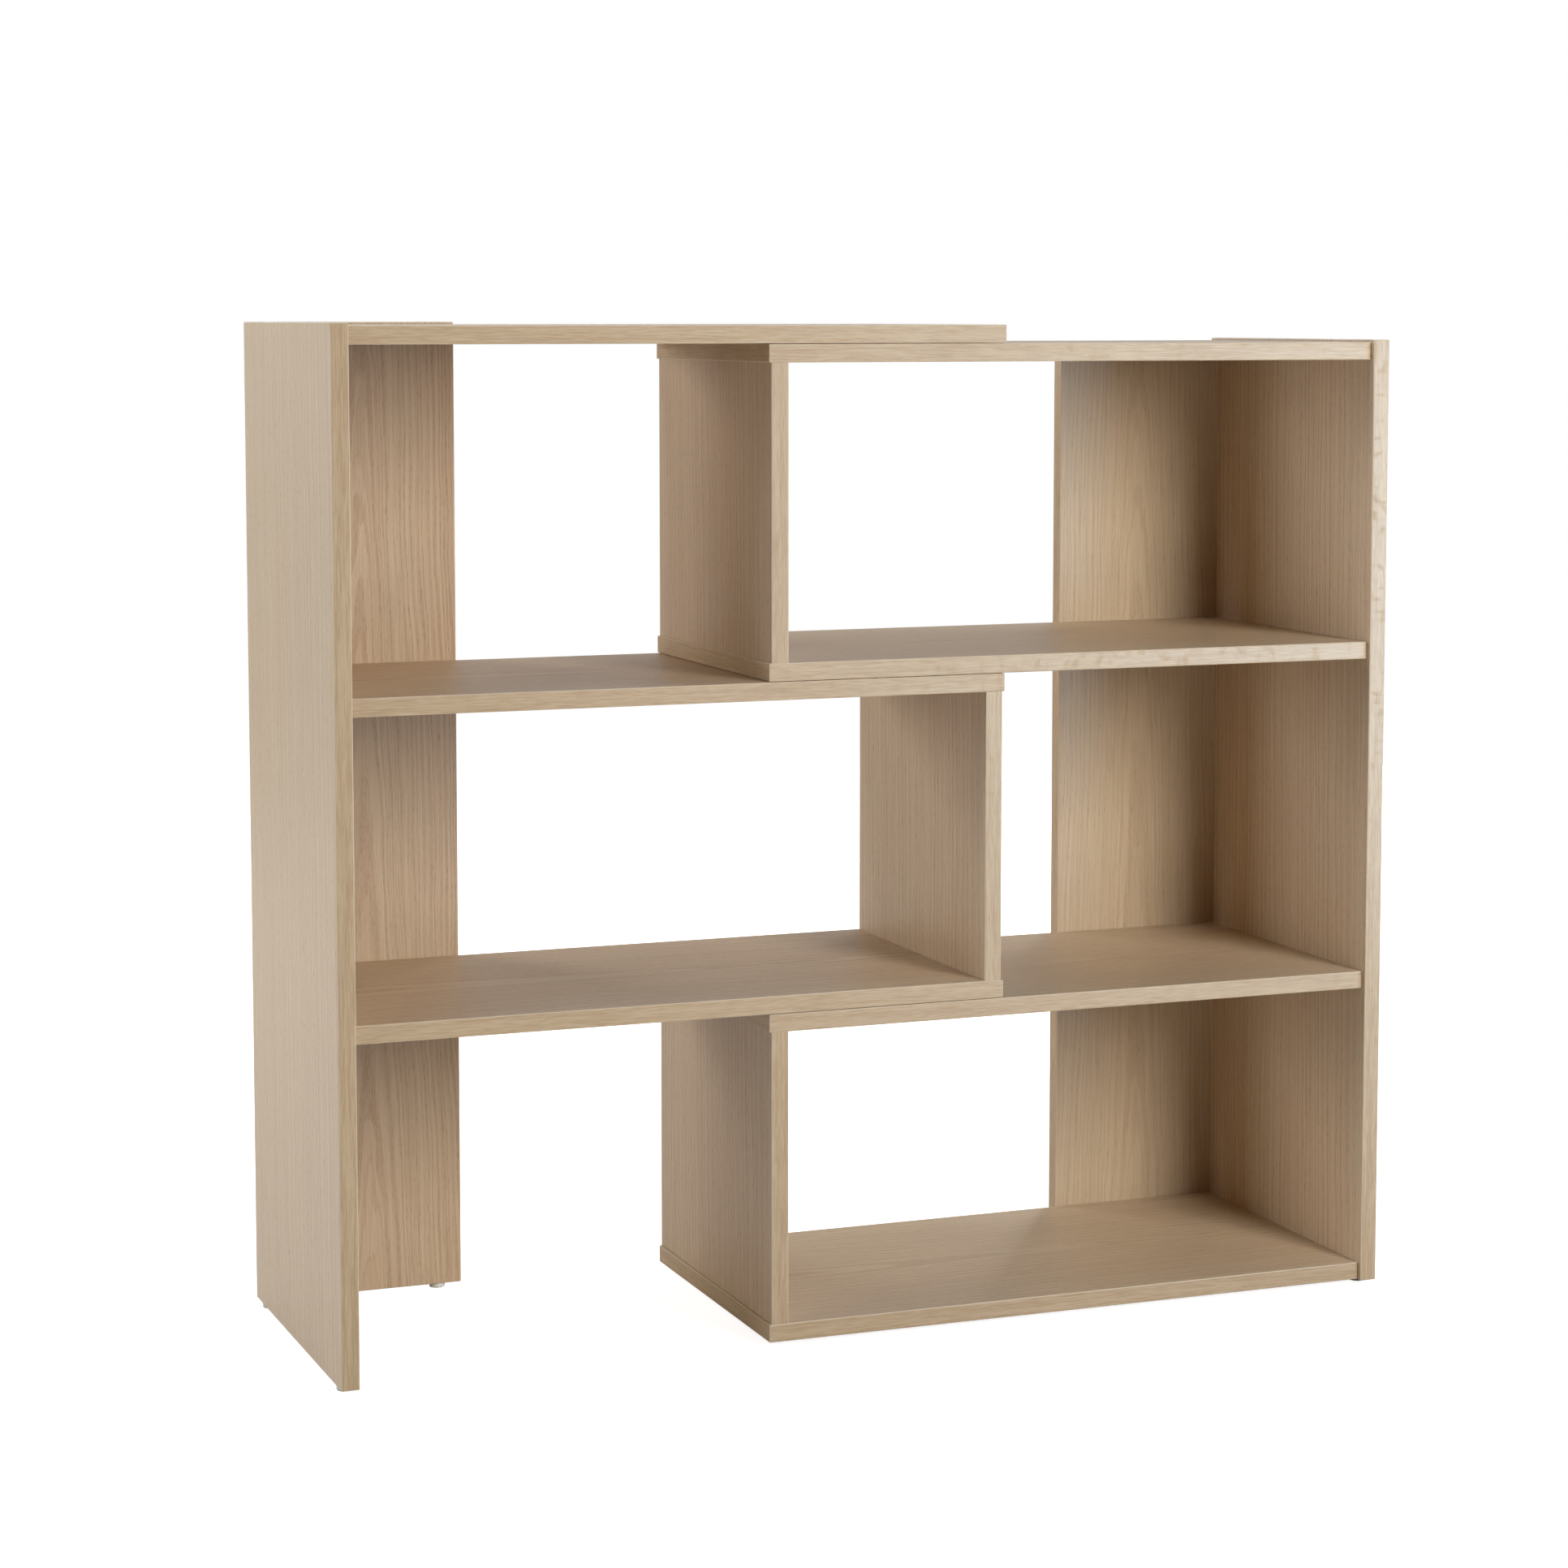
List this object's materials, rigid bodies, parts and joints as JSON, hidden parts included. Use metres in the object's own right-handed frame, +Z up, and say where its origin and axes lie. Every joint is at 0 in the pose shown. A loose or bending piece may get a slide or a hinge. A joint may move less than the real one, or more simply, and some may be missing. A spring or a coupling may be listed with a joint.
{
  "type": "extending bookcase",
  "caption": "Open bookcase of oak-effect board in two nesting units that slide past each other to widen or narrow it, standing on small plastic glides.",
  "frame": {"origin": "on the floor, under the middle of the bookcase's box as it is extended in the picture", "axes": "+X along the width to the viewer's right, -Y towards the front, +Z up"},
  "size_m": [0.932, 0.298, 0.844],
  "materials": {
    "oak_board": "matt oak-effect foil on particle board, grain along each board",
    "beech": "plain fluted beech dowel",
    "steel": "zinc-plated steel",
    "die_cast": "grey die-cast zinc alloy",
    "glide_plastic": "milky translucent plastic"
  },
  "bodies": {
    "right_unit": {"right_side_panel": "oak_board", "right_back_strip": "oak_board", "right_top_shelf": "oak_board", "right_upper_shelf": "oak_board", "right_lower_shelf": "oak_board", "right_bottom_shelf": "oak_board", "right_upper_divider": "oak_board", "right_lower_divider": "oak_board", "right_cam_bolts": "steel", "right_cam_locks": "die_cast", "right_dowels": "beech", "right_strip_screws": "steel", "right_divider_screws": "steel", "right_foot_glides": "glide_plastic", "right_glide_nails": "steel"},
    "left_unit": {"left_side_panel": "oak_board", "left_back_strip": "oak_board", "left_top_shelf": "oak_board", "left_middle_shelf": "oak_board", "left_lower_shelf": "oak_board", "left_divider": "oak_board", "left_cam_bolts": "steel", "left_cam_locks": "die_cast", "left_dowels": "beech", "left_strip_screws": "steel", "left_divider_screws": "steel", "left_foot_glides": "glide_plastic", "left_glide_nails": "steel"}
  },
  "joints": [
    {"name": "extend", "type": "slide", "parent": "right_unit", "child": "left_unit", "axis": [1, 0, 0], "range_m": [-0.11, 0.343]}
  ]
}
